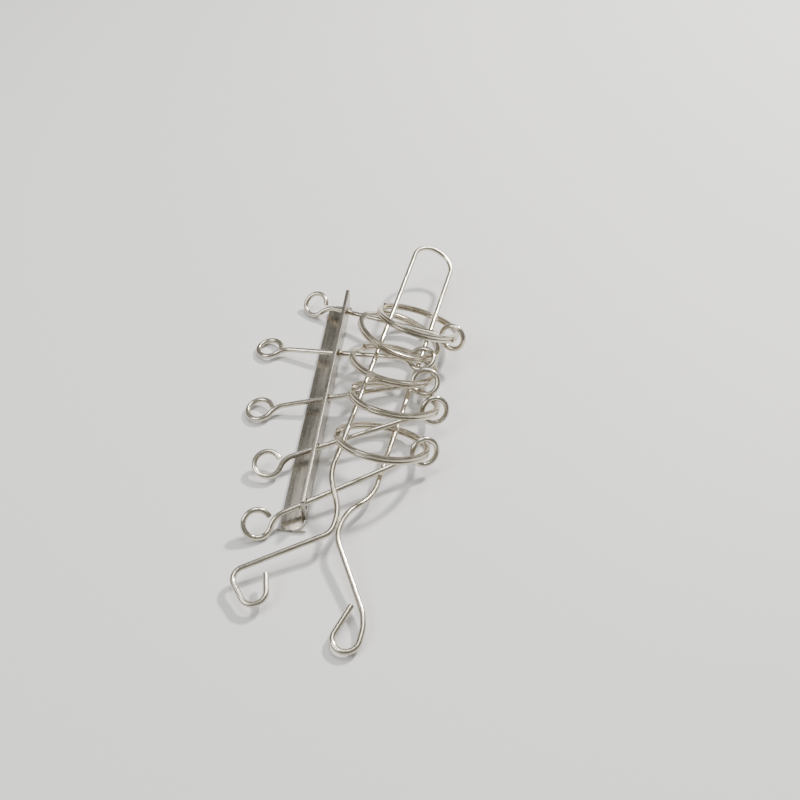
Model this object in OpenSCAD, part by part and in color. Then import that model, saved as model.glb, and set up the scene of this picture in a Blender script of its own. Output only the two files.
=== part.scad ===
// Ring disentanglement puzzle in bent steel wire.
// An angle strip lies on its flange, with five holes in a row in its upright web. A
// wire post with a closed eye at each end passes through each hole. Each right-hand eye carries a split
// ring, and the rings are threaded on the two arms of one long wire shuttle.
// Frame: +Y along the strip toward the shuttle's closed end, +X toward the rings,
// +Z up. The origin is on the underside of the strip, below its web and level with the
// middle hole. Millimetres.

/* [Strip] */
// overall length of the flange, over its rounded ends
strip_length = 84; // [83:0.5:90]
// distance from the middle hole to the near end of the web
web_near = 38.5; // [38.3:0.1:40]
// height of the upright web
strip_height = 8; // [7.5:0.5:12]
// width of the flange, measured over the web
flange_width = 6.2; // [5.5:0.1:6.4]
// thickness of the sheet
strip_thick = 1; // [0.8:0.1:1.2]
// distance between neighbouring holes
hole_pitch = 18; // [17.5:0.25:18.5]
// diameter of each hole
hole_d = 3; // [2.8:0.1:3.4]
// height of the hole centres above the bottom edge
hole_z = 4.2; // [4:0.1:4.5]

/* [Wire] */
// diameter of the wire of the posts and the shuttle
wire_d = 1.45; // [1.2:0.05:1.5]

/* [Posts] */
// distance between the two eye centres of a post
post_length = 46; // [45:0.5:47]
// height of each post's centre-line where it passes through its hole
post_z = 4.3; // [4.2:0.05:4.5]
// centre-line radius of an eye
eye_r = 3.4; // [3.3:0.05:3.5]
// centre-line radius of the bend between shank and eye
neck_r = 5; // [4:0.5:6]
// slit left where the eye closes on its own neck, in degrees of the loop
eye_slit = 6; // [6:1:20]

/* [Rings] */
// centre-line radius of a split ring
ring_r = 11.7; // [11.5:0.1:11.8]
// radial width of the ring wire
ring_band = 1.5; // [1.2:0.1:1.6]
// height of one turn of the ring wire
ring_turn = 0.9; // [0.8:0.05:0.95]
// distance the ring wire sits outward of its eye's centre
ring_seat = 0.6; // [0.4:0.1:0.8]

/* [Shuttle] */
// length from the waist to the closed end, over the centre-line
loop_length = 104; // [102:1:108]
// half of the distance between the two arms
loop_half = 6.1; // [6:0.05:6.2]
// half of the distance between the wires at the pinched waist
waist_half = 0.8; // [0.78:0.02:0.9]
// bend radius where the arms run into the waist
waist_r = 12; // [10:0.5:13]
// angle of the run between arm and waist
waist_angle = 32; // [30:1:34]

/* [Hidden] */
$fn = 48;

// post attitudes, far post first: heading from +X toward +Y, rise toward +X,
// length on the eye side of the strip that faces -X, roll of the left eye and
// roll of the right eye about the shank
post_yaw = [-22, -8.5, 10.5, 24.5, 32];
post_rise = [7.5, 8.2, 8.5, 5.5, 4];
post_out = [10.5, 20.8, 18.8, 13.2, 12.6];
left_roll = [35, 0, 3, 20, 45];
right_roll = [70, 15, 35, 60, 60];

// ring attitudes, far ring first: heading of its level diameter, tilt that lifts
// its near side, and how far round the ring its eye sits
ring_yaw = [-31, -51, -27, -17, -15];
ring_tilt = [30, 26, 24, 28, 30];
ring_phase = [-8, -3, 6, -8, -14];

// shuttle attitude: waist position, heading from +Y toward +X, rise toward the
// closed end, roll of the loop that lowers the right arm, droop of the feet
waist_pos = [9.2, -42, 5.3];
shuttle_yaw = 9;
shuttle_rise = 2.5;
loop_roll = 25;
foot_droop = 4;

steel = [0.74, 0.72, 0.69];
strip_steel = [0.66, 0.65, 0.63];

// every bend starts and ends in a ball a hair wider than the wire
bead = wire_d + 0.02;
neck_angle = acos(neck_r / (neck_r + eye_r));
neck_run = (neck_r + eye_r) * sin(neck_angle);
eye_sweep = 360 - (90 - neck_angle) - eye_slit;
waist_drop = 2 * waist_r * (1 - cos(waist_angle));
waist_mid = (loop_half - waist_half - waist_drop) / sin(waist_angle);
waist_run = 2 * waist_r * sin(waist_angle) + waist_mid * cos(waist_angle);
arm_run = loop_length - loop_half - waist_run;

function hole_y(k) = hole_pitch * (3 - k);

// one round bend that starts at the origin heading +Y; positive angles turn left
module bend(radius, angle) {
    side = angle > 0 ? -1 : 1;
    translate([side * radius, 0, 0])
        rotate([0, 0, angle > 0 ? 0 : 180 + angle])
            rotate_extrude(angle = abs(angle))
                translate([radius, 0])
                    circle(d = wire_d);
}

module straight(h) {
    rotate([-90, 0, 0])
        cylinder(d = wire_d, h = h);
}

// a wire that starts at the origin heading +Y; each step is
// [straight length, bend radius, bend angle]
module run(steps, i = 0) {
    if (i < len(steps)) {
        ahead = steps[i][0];
        radius = steps[i][1];
        angle = steps[i][2];
        side = angle > 0 ? -1 : 1;
        sphere(d = bead);
        if (ahead > 0) straight(ahead);
        translate([0, ahead, 0]) {
            if (ahead > 0 && angle != 0) sphere(d = bead);
            if (angle != 0) bend(radius, angle);
            translate([side * radius * (1 - cos(angle)), radius * sin(abs(angle)), 0])
                rotate([0, 0, angle])
                    run(steps, i + 1);
        }
    }
}

// half a post: a shank whose end is bent into a closed eye centred at "reach";
// turn is 1 or -1 and picks the side the neck swings out to
module half_post(reach, turn) {
    run([[reach - neck_run, neck_r, -turn * neck_angle], [0, eye_r, turn * eye_sweep]]);
}

module bar() {
    color(strip_steel)
        difference() {
            union() {
                translate([-strip_thick / 2, -web_near, 0])
                    cube([strip_thick, strip_length / 2 + web_near, strip_height]);
                translate([strip_thick / 2 - flange_width, (flange_width - strip_length) / 2, 0])
                    cube([flange_width, strip_length - flange_width, strip_thick]);
                for (side = [-1, 1])
                    translate([(strip_thick - flange_width) / 2,
                               side * (strip_length - flange_width) / 2, 0])
                        cylinder(d = flange_width, h = strip_thick);
            }
            for (k = [1 : 5])
                translate([-strip_thick, hole_y(k), hole_z])
                    rotate([0, 90, 0])
                        cylinder(d = hole_d, h = 2 * strip_thick);
        }
}

// places children in a post's frame: origin in the hole, +X along the shank
module at_post(k) {
    translate([0, hole_y(k), post_z])
        rotate([0, 0, post_yaw[k - 1]])
            rotate([0, -post_rise[k - 1], 0])
                children();
}

module post(k) {
    color(steel)
        at_post(k)
            union() {
                rotate([right_roll[k - 1], 0, 0])
                    rotate([0, 0, -90])
                        half_post(post_length - post_out[k - 1], 1);
                rotate([0, 0, 180])
                    rotate([-left_roll[k - 1], 0, 0])
                        rotate([0, 0, -90])
                            half_post(post_out[k - 1], -1);
            }
}

// two stacked turns with a groove between them, cut by the two slots at which the
// ends of the wire stop
module split_ring() {
    difference() {
        rotate_extrude($fn = 96)
            translate([ring_r - ring_band / 2, 0])
                polygon([
                    [0.15, -ring_turn], [ring_band - 0.15, -ring_turn],
                    [ring_band, -ring_turn + 0.15], [ring_band, -0.12],
                    [ring_band - 0.12, 0], [ring_band, 0.12],
                    [ring_band, ring_turn - 0.15], [ring_band - 0.15, ring_turn],
                    [0.15, ring_turn], [0, ring_turn - 0.15],
                    [0, 0.12], [0.12, 0], [0, -0.12], [0, -ring_turn + 0.15]
                ]);
        rotate([0, 0, 205])
            translate([ring_r - ring_band, -0.25, 0.05])
                cube([2 * ring_band, 0.5, ring_turn]);
        rotate([0, 0, 235])
            translate([ring_r - ring_band, -0.25, -ring_turn - 0.05])
                cube([2 * ring_band, 0.5, ring_turn]);
    }
}

module ring(k) {
    reach = post_length - post_out[k - 1] + ring_seat;
    yaw = post_yaw[k - 1];
    rise = post_rise[k - 1];
    color(steel)
        translate([reach * cos(rise) * cos(yaw),
                   hole_y(k) + reach * cos(rise) * sin(yaw),
                   post_z + reach * sin(rise)])
            rotate([0, 0, ring_yaw[k - 1]])
                rotate([-ring_tilt[k - 1], 0, 0])
                    rotate([0, 0, -ring_phase[k - 1]])
                        translate([-ring_r, 0, 0])
                            split_ring();
}

// a foot carries on from the waist end of one arm, drooping to the table
module foot(side, steps) {
    rotate([0, loop_roll, 0])
        translate([side * waist_half, 0, 0])
            rotate([0, -loop_roll, 0])
                rotate([foot_droop, 0, 0])
                    rotate([0, 0, 180])
                        run(steps);
}

// one arm of the loop, run from the closed end down to the waist
module arm(side) {
    rotate([0, loop_roll, 0])
        translate([side * loop_half, loop_length - loop_half, 0])
            rotate([0, 0, 180])
                run([[arm_run, waist_r, -side * waist_angle],
                     [waist_mid, waist_r, side * waist_angle]]);
}

// the left foot opens into a wide hook, the right foot curls nearly shut
module shuttle() {
    color(steel)
        translate(waist_pos)
            rotate([0, 0, -shuttle_yaw])
                rotate([shuttle_rise, 0, 0])
                    union() {
                        arm(-1);
                        arm(1);
                        rotate([0, loop_roll, 0])
                            translate([0, loop_length - loop_half, 0])
                                rotate_extrude(angle = 180)
                                    translate([loop_half, 0])
                                        circle(d = wire_d);
                        foot(-1, [[1, 4, -52], [20.5, 3, 97], [4.2, 3, 156], [4.6, 1, 0]]);
                        foot(1, [[1, 8, 34], [16.5, 12, -34], [1.5, 3.1, -195], [7.5, 1, 0]]);
                    }
}

bar();
post(1);  // post_1
post(2);  // post_2
post(3);  // post_3
post(4);  // post_4
post(5);  // post_5
ring(1);  // ring_1
ring(2);  // ring_2
ring(3);  // ring_3
ring(4);  // ring_4
ring(5);  // ring_5
shuttle();
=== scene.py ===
# Looks for the ring disentanglement puzzle: swept wire, coiled split rings, a bevelled
# angle strip, plated metal, a pale table and soft studio light. Metres, in the CAD frame.
import math

import bmesh
import bpy
import numpy as np
from mathutils import Matrix, Vector


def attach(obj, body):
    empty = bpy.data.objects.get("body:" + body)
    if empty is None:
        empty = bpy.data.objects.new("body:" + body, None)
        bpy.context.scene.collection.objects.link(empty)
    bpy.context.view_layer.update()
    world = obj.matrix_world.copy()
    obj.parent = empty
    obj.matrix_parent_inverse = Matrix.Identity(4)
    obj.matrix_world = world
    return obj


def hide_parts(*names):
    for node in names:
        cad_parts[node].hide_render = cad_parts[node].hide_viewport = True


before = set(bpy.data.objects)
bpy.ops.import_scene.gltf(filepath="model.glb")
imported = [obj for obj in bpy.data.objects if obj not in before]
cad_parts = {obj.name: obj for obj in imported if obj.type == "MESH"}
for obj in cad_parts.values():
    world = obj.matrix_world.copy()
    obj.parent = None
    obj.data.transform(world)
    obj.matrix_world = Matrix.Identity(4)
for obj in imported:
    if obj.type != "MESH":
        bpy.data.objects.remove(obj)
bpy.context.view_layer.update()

MM = 0.001

# ---- the object's dimensions, millimetres and degrees, as in the CAD ----
STRIP = dict(length=84.0, near=38.5, height=8.0, flange=6.2, thick=1.0, hole=3.0, hole_z=4.2)
HOLES_Y = (36.0, 18.0, 0.0, -18.0, -36.0)
# the plate's broken edges, the web's corners, and what keeps the web's faces off the flange's
BEVEL, WEB_CORNER, WEB_LIFT, FLANGE_TUCK, PLATE_CREASE = 0.12, 0.5, 0.05, 0.06, 30
WIRE_R = 0.725
POST_LENGTH, POST_Z, EYE_R, NECK_R, EYE_SLIT = 46.0, 4.3, 3.4, 5.0, 6.0
POSTS = (  # yaw, rise, length on the left, roll of the left eye, roll of the right eye
    (-22.0, 7.5, 10.5, 35.0, 70.0),
    (-8.5, 8.2, 20.8, 0.0, 15.0),
    (10.5, 8.5, 18.8, 3.0, 35.0),
    (24.5, 5.5, 13.2, 20.0, 60.0),
    (32.0, 4.0, 12.6, 45.0, 60.0),
)
RING_R, RING_BAND, RING_TURN, RING_SEAT = 11.7, 1.5, 0.9, 0.6
RINGS = (  # yaw, tilt, phase
    (-31.0, 30.0, -8.0),
    (-51.0, 26.0, -3.0),
    (-27.0, 24.0, 6.0),
    (-17.0, 28.0, -8.0),
    (-15.0, 30.0, -14.0),
)
# the coil in place of the CAD's closed ring, in degrees
COIL_START, COIL_TURNED, COIL_STEP_AT, COIL_RAMP, COIL_STEPS = 205.0, 690.0, 345.0, 34.0, 300
# slack between the coil and the closed ring's outline, between its turns, and in its height
RING_GAP, COIL_GAP, COIL_SINK = 0.02, 0.06, 0.02
# wire ends: how far the cut edge is broken, and the angle that counts as an edge
CUT_CHAMFER, COIL_CHAMFER, WIRE_CREASE = 0.12, 0.1, 38
LOOP_LENGTH, LOOP_HALF, WAIST_HALF, WAIST_R, WAIST_ANGLE = 104.0, 6.1, 0.8, 12.0, 32.0
WAIST_POS, SHUTTLE_YAW, SHUTTLE_RISE = (9.2, -42.0, 5.3), 9.0, 2.5
LOOP_ROLL, FOOT_DROOP = 25.0, 4.0
LEFT_FOOT = ((1, 4, -52), (20.5, 3, 97), (4.2, 3, 156), (4.6, 1, 0))
RIGHT_FOOT = ((1, 8, 34), (16.5, 12, -34), (1.5, 3.1, -195), (7.5, 1, 0))


# ---- small geometry helpers ----
def rot(axis, degrees):
    return Matrix.Rotation(math.radians(degrees), 4, axis)


def move(x, y, z):
    return Matrix.Translation((x, y, z))


def path(steps, pace=0.25):
    """Centre-line of a bent wire in the XY plane, starting at the origin toward +Y."""
    x, y, heading = 0.0, 0.0, 0.0
    out = [Vector((0, 0, 0))]
    for ahead, radius, angle in steps:
        if ahead:
            n = max(2, int(ahead / (4 * pace)))
            dx, dy = -math.sin(heading), math.cos(heading)
            for i in range(1, n + 1):
                out.append(Vector((x + dx * ahead * i / n, y + dy * ahead * i / n, 0)))
            x, y = out[-1].x, out[-1].y
        if angle:
            sweep = math.radians(angle)
            side = 1 if sweep > 0 else -1
            cx = x - side * radius * math.cos(heading)
            cy = y - side * radius * math.sin(heading)
            n = max(4, int(abs(sweep) * radius / pace))
            for i in range(1, n + 1):
                t = heading + sweep * i / n
                out.append(Vector((cx + side * radius * math.cos(t), cy + side * radius * math.sin(t), 0)))
            x, y = out[-1].x, out[-1].y
            heading += sweep
    return out


def placed(points, m):
    return [m @ p for p in points]


def sweep_section(name, points, section, chamfer, axis=None):
    """A closed section carried along a line of points, with chamfered cut ends.

    section is a list of (across, up) pairs in millimetres. Up follows the axis where one is
    given, and is carried along without twist where none is. The mesh stores how far each
    point is along the wire and where it is around it, for the drawn-wire streaks.
    """
    n = len(points)
    tangents = []
    for i in range(n):
        a, b = points[max(0, i - 1)], points[min(n - 1, i + 1)]
        tangents.append((b - a).normalized())
    up = axis or tangents[0].orthogonal().normalized()
    frames, lengths, total = [], [], 0.0
    for i, p in enumerate(points):
        t = tangents[i]
        up = axis or up
        up = (up - t * up.dot(t)).normalized()
        frames.append((p, t.cross(up).normalized(), up.copy(), t))
        if i:
            total += (p - points[i - 1]).length
        lengths.append(total)
    first, last = frames[0], frames[-1]
    shrink = 1 - chamfer / max(abs(s[0]) for s in section)
    rows = [(first, shrink, 0.0), ((first[0] + first[3] * chamfer,) + first[1:], 1.0, chamfer)]
    rows += [(f, 1.0, l) for f, l in zip(frames, lengths) if chamfer * 1.5 < l < total - chamfer * 1.5]
    rows.append(((last[0] - last[3] * chamfer,) + last[1:], 1.0, total - chamfer))
    rows.append((last, shrink, total))
    bm = bmesh.new()
    along = bm.verts.layers.float.new("along")
    around = bm.verts.layers.float_vector.new("around")
    loops = []
    for (p, side, up, _), scale, length in rows:
        ring = []
        for x, y in section:
            v = bm.verts.new((p + side * (x * scale) + up * (y * scale)) * MM)
            v[along] = length
            v[around] = (x / math.hypot(x, y), y / math.hypot(x, y), 0)
            ring.append(v)
        loops.append(ring)
    m = len(section)
    for a, b in zip(loops, loops[1:]):
        for j in range(m):
            bm.faces.new((a[j], a[(j + 1) % m], b[(j + 1) % m], b[j]))
    bm.faces.new(list(reversed(loops[0])))
    bm.faces.new(loops[-1])
    bmesh.ops.recalc_face_normals(bm, faces=bm.faces[:])
    mesh = bpy.data.meshes.new(name)
    bm.to_mesh(mesh)
    bm.free()
    mesh.shade_smooth()
    mesh.set_sharp_from_angle(angle=math.radians(WIRE_CREASE))
    obj = bpy.data.objects.new(name, mesh)
    bpy.context.scene.collection.objects.link(obj)
    return obj


def round_section(r, n=28):
    return [(r * math.cos(2 * math.pi * i / n), r * math.sin(2 * math.pi * i / n)) for i in range(n)]


# ---- the pieces ----
def post_matrix(k):
    yaw, rise = POSTS[k][:2]
    return move(0, HOLES_Y[k], POST_Z) @ rot("Z", yaw) @ rot("Y", -rise)


def half_post(reach, turn):
    neck = math.degrees(math.acos(NECK_R / (NECK_R + EYE_R)))
    run = (NECK_R + EYE_R) * math.sin(math.radians(neck))
    sweep = 360 - (90 - neck) - EYE_SLIT
    return path(((reach - run, NECK_R, -turn * neck), (0, EYE_R, turn * sweep)))


def build_post(k):
    yaw, rise, out, left, right = POSTS[k]
    m = post_matrix(k)
    a = placed(half_post(POST_LENGTH - out, 1), m @ rot("X", right) @ rot("Z", -90))
    b = placed(half_post(out, -1), m @ rot("Z", 180) @ rot("X", -left) @ rot("Z", -90))
    return sweep_section(f"wire_post_{k + 1}", list(reversed(b)) + a[1:], round_section(WIRE_R), CUT_CHAMFER)


def ring_matrix(k):
    yaw, rise, out = POSTS[k][:3]
    eye = post_matrix(k) @ Vector((POST_LENGTH - out + RING_SEAT, 0, 0))
    ring_yaw, tilt, phase = RINGS[k]
    return (move(*eye) @ rot("Z", ring_yaw) @ rot("X", -tilt) @ rot("Z", -phase)
            @ move(-RING_R, 0, 0))


def ring_section():
    """The ring wire's section: a rectangle with its corners cut in two steps."""
    w, h = RING_BAND / 2 - RING_GAP / 2, RING_TURN / 2 - COIL_GAP / 2
    cut, step = 0.2, 0.06
    corner = ((0, cut), (step, step), (cut, 0))
    quarters = ((-1, -1, corner), (1, -1, corner[::-1]), (1, 1, corner), (-1, 1, corner[::-1]))
    return [(sx * (w - dx), sy * (h - dy)) for sx, sy, cuts in quarters for dx, dy in cuts]


def build_ring(k):
    """Two turns of flat-sided wire that steps from the lower to the upper turn."""
    m = ring_matrix(k)
    points = []
    for i in range(COIL_STEPS + 1):
        turned = COIL_TURNED * i / COIL_STEPS
        a = math.radians(COIL_START + turned)
        # the step sits where the two ends would otherwise meet
        f = min(1.0, max(0.0, (turned - (COIL_STEP_AT - COIL_RAMP / 2)) / COIL_RAMP))
        f = f * f * (3 - 2 * f)
        z = (f - 0.5) * (RING_TURN - COIL_SINK)
        points.append(m @ Vector((RING_R * math.cos(a), RING_R * math.sin(a), z)))
    axis = (m.to_3x3() @ Vector((0, 0, 1))).normalized()
    return sweep_section(f"coil_ring_{k + 1}", points, ring_section(), COIL_CHAMFER, axis)


def build_shuttle():
    drop = 2 * WAIST_R * (1 - math.cos(math.radians(WAIST_ANGLE)))
    mid = (LOOP_HALF - WAIST_HALF - drop) / math.sin(math.radians(WAIST_ANGLE))
    run = 2 * WAIST_R * math.sin(math.radians(WAIST_ANGLE)) + mid * math.cos(math.radians(WAIST_ANGLE))
    arm = LOOP_LENGTH - LOOP_HALF - run
    base = move(*WAIST_POS) @ rot("Z", -SHUTTLE_YAW) @ rot("X", SHUTTLE_RISE)
    loop = base @ rot("Y", LOOP_ROLL)
    line = []
    for side, foot in ((-1, LEFT_FOOT), (1, RIGHT_FOOT)):
        steps = ((arm, WAIST_R, -side * WAIST_ANGLE), (mid, WAIST_R, side * WAIST_ANGLE))
        half = placed(path(steps), loop @ move(side * LOOP_HALF, LOOP_LENGTH - LOOP_HALF, 0) @ rot("Z", 180))
        start = (loop @ move(side * WAIST_HALF, 0, 0) @ rot("Y", -LOOP_ROLL)
                 @ rot("X", FOOT_DROOP) @ rot("Z", 180))
        half += placed(path(foot), start)[1:]
        line.append(half)
    arc = [loop @ Vector((LOOP_HALF * math.cos(t), LOOP_LENGTH - LOOP_HALF + LOOP_HALF * math.sin(t), 0))
           for t in np.linspace(0, math.pi, 72)[1:-1]]
    arc.reverse()
    points = list(reversed(line[0])) + arc + line[1]
    return sweep_section("wire_shuttle", points, round_section(WIRE_R), CUT_CHAMFER)


def plate(name, outline, holes, thick):
    """A flat plate with rounded-over edges from an outline and round holes (mesh data)."""
    curve = bpy.data.curves.new(name, "CURVE")
    curve.dimensions = "2D"
    curve.fill_mode = "BOTH"

    def loop(points):
        s = curve.splines.new("POLY")
        s.points.add(len(points) - 1)
        for q, (x, y) in zip(s.points, points):
            q.co = (x * MM, y * MM, 0, 1)
        s.use_cyclic_u = True

    loop(outline)
    for x, y, r in holes:
        loop([(x + u, y + v) for u, v in round_section(r + BEVEL, 48)])
    curve.extrude = (thick / 2 - BEVEL) * MM
    curve.bevel_depth = BEVEL * MM
    curve.bevel_resolution = 3
    tmp = bpy.data.objects.new(name, curve)
    bpy.context.scene.collection.objects.link(tmp)
    bpy.context.view_layer.update()
    mesh = bpy.data.meshes.new_from_object(tmp.evaluated_get(bpy.context.evaluated_depsgraph_get()))
    bpy.data.objects.remove(tmp)
    return mesh


def rounded_box(x0, x1, y0, y1, r):
    """Outline of a rectangle with round corners, drawn in by the bevel."""
    x0, x1, y0, y1 = x0 + BEVEL, x1 - BEVEL, y0 + BEVEL, y1 - BEVEL
    out = []
    corners = ((x1 - r, y1 - r, 0), (x0 + r, y1 - r, 90), (x0 + r, y0 + r, 180), (x1 - r, y0 + r, 270))
    for cx, cy, a0 in corners:
        for i in range(13):
            a = math.radians(a0 + 90 * i / 12)
            out.append((cx + r * math.cos(a), cy + r * math.sin(a)))
    return out


def build_strip():
    """The angle strip: an upright web with five punched holes, and its flange."""
    s = STRIP
    half, t = s["length"] / 2, s["thick"]
    web = plate("web", rounded_box(-s["near"], half, WEB_LIFT, s["height"], WEB_CORNER),
                [(y, s["hole_z"], s["hole"] / 2) for y in HOLES_Y], t)
    # the web's outline runs along +Y and up +Z
    web.transform(Matrix(((0, 0, 1, 0), (1, 0, 0, 0), (0, 1, 0, 0), (0, 0, 0, 1))))
    end_r = s["flange"] / 2 - BEVEL - 0.001
    flange = plate("flange", rounded_box(t / 2 - s["flange"], t / 2 - FLANGE_TUCK, -half, half, end_r), [], t)
    flange.transform(Matrix.Translation((0, 0, t / 2 * MM)))
    bm = bmesh.new()
    bm.from_mesh(web)
    bm.from_mesh(flange)
    bmesh.ops.remove_doubles(bm, verts=bm.verts[:], dist=1e-7)
    bmesh.ops.recalc_face_normals(bm, faces=bm.faces[:])
    mesh = bpy.data.meshes.new("strip_plate")
    bm.to_mesh(mesh)
    bm.free()
    mesh.shade_smooth()
    mesh.set_sharp_from_angle(angle=math.radians(PLATE_CREASE))
    obj = bpy.data.objects.new("strip_plate", mesh)
    bpy.context.scene.collection.objects.link(obj)
    return obj


# ---- materials ----
def plated(name, base, worn, rough, streak_scale, use_along, seed):
    """Plated steel: a little colour drift, fine drawn streaks, small handling marks."""
    mat = bpy.data.materials.new(name)
    mat.use_nodes = True
    nt = mat.node_tree
    nt.nodes.clear()
    out = nt.nodes.new("ShaderNodeOutputMaterial")
    bsdf = nt.nodes.new("ShaderNodeBsdfPrincipled")
    nt.links.new(bsdf.outputs["BSDF"], out.inputs["Surface"])
    bsdf.inputs["Metallic"].default_value = 1.0
    bsdf.inputs["Base Color"].default_value = (*base, 1)
    bsdf.inputs["Roughness"].default_value = rough
    coord = nt.nodes.new("ShaderNodeTexCoord")
    shift = nt.nodes.new("ShaderNodeMapping")
    shift.inputs["Location"].default_value = (seed * 1.7, seed * 0.9, seed * 2.3)
    nt.links.new(coord.outputs["Object"], shift.inputs["Vector"])

    def noise(scale, detail, source, roughness=0.55):
        n = nt.nodes.new("ShaderNodeTexNoise")
        n.inputs["Scale"].default_value = scale
        n.inputs["Detail"].default_value = detail
        n.inputs["Roughness"].default_value = roughness
        nt.links.new(source, n.inputs["Vector"])
        return n.outputs["Fac"]

    def ramp(fac, lo, hi, a, b):
        r = nt.nodes.new("ShaderNodeMapRange")
        r.inputs["From Min"].default_value = lo
        r.inputs["From Max"].default_value = hi
        r.inputs["To Min"].default_value = a
        r.inputs["To Max"].default_value = b
        nt.links.new(fac, r.inputs["Value"])
        return r.outputs["Result"]

    if use_along:
        along = nt.nodes.new("ShaderNodeAttribute")
        along.attribute_name = "along"
        around = nt.nodes.new("ShaderNodeAttribute")
        around.attribute_name = "around"
        short = nt.nodes.new("ShaderNodeMath")
        short.operation = "MULTIPLY"
        short.inputs[1].default_value = 0.05
        nt.links.new(along.outputs["Fac"], short.inputs[0])
        parts = nt.nodes.new("ShaderNodeSeparateXYZ")
        nt.links.new(around.outputs["Vector"], parts.inputs[0])
        join = nt.nodes.new("ShaderNodeCombineXYZ")
        nt.links.new(parts.outputs["X"], join.inputs["X"])
        nt.links.new(parts.outputs["Y"], join.inputs["Y"])
        nt.links.new(short.outputs[0], join.inputs["Z"])
        streak_src = join.outputs[0]
    else:
        stretch = nt.nodes.new("ShaderNodeMapping")
        stretch.inputs["Scale"].default_value = (1200, 60, 1200)
        nt.links.new(shift.outputs[0], stretch.inputs["Vector"])
        streak_src = stretch.outputs[0]
    streaks = noise(streak_scale, 3.0, streak_src)
    cloud = noise(90.0, 3.0, shift.outputs[0])
    marks = noise(900.0, 4.0, shift.outputs[0], 0.7)

    mix = nt.nodes.new("ShaderNodeMix")
    mix.data_type = "RGBA"
    mix.inputs[6].default_value = (*base, 1)
    mix.inputs[7].default_value = (*worn, 1)
    nt.links.new(ramp(cloud, 0.35, 0.7, 0.0, 0.85), mix.inputs[0])
    tint = nt.nodes.new("ShaderNodeMix")
    tint.data_type = "RGBA"
    tint.blend_type = "MULTIPLY"
    dark = nt.nodes.new("ShaderNodeCombineColor")
    level = ramp(streaks, 0.25, 0.75, 0.74, 1.0)
    for c in ("Red", "Green", "Blue"):
        nt.links.new(level, dark.inputs[c])
    tint.inputs[0].default_value = 1.0
    nt.links.new(mix.outputs[2], tint.inputs[6])
    nt.links.new(dark.outputs[0], tint.inputs[7])
    nt.links.new(tint.outputs[2], bsdf.inputs["Base Color"])

    add = nt.nodes.new("ShaderNodeMath")
    add.operation = "ADD"
    nt.links.new(ramp(streaks, 0.25, 0.75, rough - 0.05, rough + 0.07), add.inputs[0])
    nt.links.new(ramp(marks, 0.55, 0.8, 0.0, 0.14), add.inputs[1])
    nt.links.new(add.outputs[0], bsdf.inputs["Roughness"])

    bump = nt.nodes.new("ShaderNodeBump")
    bump.inputs["Strength"].default_value = 0.22
    bump.inputs["Distance"].default_value = 0.00006
    height = nt.nodes.new("ShaderNodeMath")
    height.operation = "ADD"
    nt.links.new(streaks, height.inputs[0])
    nt.links.new(ramp(marks, 0.4, 0.9, 0.0, 0.8), height.inputs[1])
    nt.links.new(height.outputs[0], bump.inputs["Height"])
    nt.links.new(bump.outputs["Normal"], bsdf.inputs["Normal"])
    return mat


WIRE = plated("nickel_wire", (0.82, 0.76, 0.64), (0.58, 0.52, 0.41), 0.19, 5.0, True, 1)
RING = plated("nickel_ring", (0.79, 0.73, 0.61), (0.53, 0.47, 0.365), 0.18, 6.0, True, 2)
PLATE = plated("strip_steel", (0.52, 0.48, 0.41), (0.27, 0.245, 0.205), 0.27, 1.0, False, 3)


def dress(obj, mat, body, node):
    obj.data.materials.clear()
    obj.data.materials.append(mat)
    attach(obj, body)
    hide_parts(node)
    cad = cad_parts[node]
    cad.data.materials.clear()
    cad.data.materials.append(mat)


dress(build_strip(), PLATE, "bar", "bar")
for k in range(5):
    dress(build_post(k), WIRE, f"post_{k + 1}", f"post_{k + 1}")
    dress(build_ring(k), RING, f"ring_{k + 1}", f"ring_{k + 1}")
dress(build_shuttle(), WIRE, "shuttle", "shuttle")


# ---- table, light, camera ----
def floor():
    bm = bmesh.new()
    bmesh.ops.create_grid(bm, x_segments=2, y_segments=2, size=1.6)
    mesh = bpy.data.meshes.new("table")
    bm.to_mesh(mesh)
    bm.free()
    obj = bpy.data.objects.new("table", mesh)
    bpy.context.scene.collection.objects.link(obj)
    mat = bpy.data.materials.new("pale_table")
    mat.use_nodes = True
    bsdf = mat.node_tree.nodes["Principled BSDF"]
    bsdf.inputs["Base Color"].default_value = (0.78, 0.775, 0.76, 1)
    bsdf.inputs["Roughness"].default_value = 0.62
    obj.data.materials.append(mat)


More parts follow.
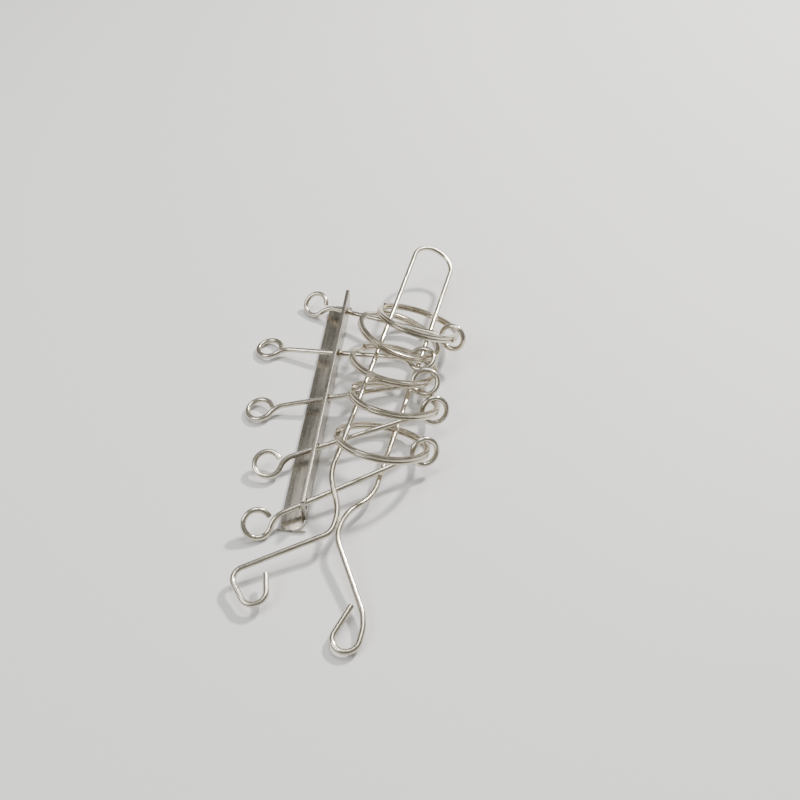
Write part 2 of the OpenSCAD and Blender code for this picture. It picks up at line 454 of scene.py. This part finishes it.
def lamp(name, position, size, power, colour=(1, 1, 1), target=(0.012, -0.005, 0.0)):
    data = bpy.data.lights.new(name, "AREA")
    data.shape = "DISK"
    data.size = size
    data.energy = power
    data.color = colour
    obj = bpy.data.objects.new(name, data)
    obj.location = position
    aim = Vector(target) - Vector(position)
    obj.rotation_euler = aim.to_track_quat("-Z", "Y").to_euler()
    bpy.context.scene.collection.objects.link(obj)


def studio_world():
    """A grey surround that grows lighter from one side of the studio to the other."""
    world = bpy.data.worlds.new("studio")
    world.use_nodes = True
    nt = world.node_tree
    back = nt.nodes["Background"]
    back.inputs["Strength"].default_value = 0.38
    coord = nt.nodes.new("ShaderNodeTexCoord")
    turn = nt.nodes.new("ShaderNodeMapping")
    turn.inputs["Rotation"].default_value = (0, math.radians(90), 0)
    turn.inputs["Location"].default_value = (0.5, 0, 0)
    turn.inputs["Scale"].default_value = (0.5, 0.5, 0.5)
    gradient = nt.nodes.new("ShaderNodeTexGradient")
    ramp = nt.nodes.new("ShaderNodeValToRGB")
    ramp.color_ramp.elements[0].color = (0.10, 0.10, 0.105, 1)
    ramp.color_ramp.elements[1].color = (0.95, 0.95, 0.94, 1)
    nt.links.new(coord.outputs["Generated"], turn.inputs["Vector"])
    nt.links.new(turn.outputs["Vector"], gradient.inputs["Vector"])
    nt.links.new(gradient.outputs["Fac"], ramp.inputs["Fac"])
    nt.links.new(ramp.outputs["Color"], back.inputs["Color"])
    bpy.context.scene.world = world


def camera():
    data = bpy.data.cameras.new("camera")
    data.sensor_width = 36
    data.lens = 42.6
    data.clip_start = 0.005
    obj = bpy.data.objects.new("camera", data)
    obj.location = (0.0379, -0.1750, 0.1920)
    obj.rotation_euler = Vector((-0.0698, 0.6832, -0.7269)).to_track_quat("-Z", "Y").to_euler()
    bpy.context.scene.collection.objects.link(obj)
    bpy.context.scene.camera = obj


floor()
lamp("key", (0.36, 0.45, 0.52), 0.09, 8.5, (1.0, 0.98, 0.95))
lamp("fill", (-0.38, -0.22, 0.55), 0.40, 2.2, (0.97, 0.985, 1.0))
lamp("top", (0.05, 0.22, 0.70), 0.35, 2.4)
studio_world()
camera()
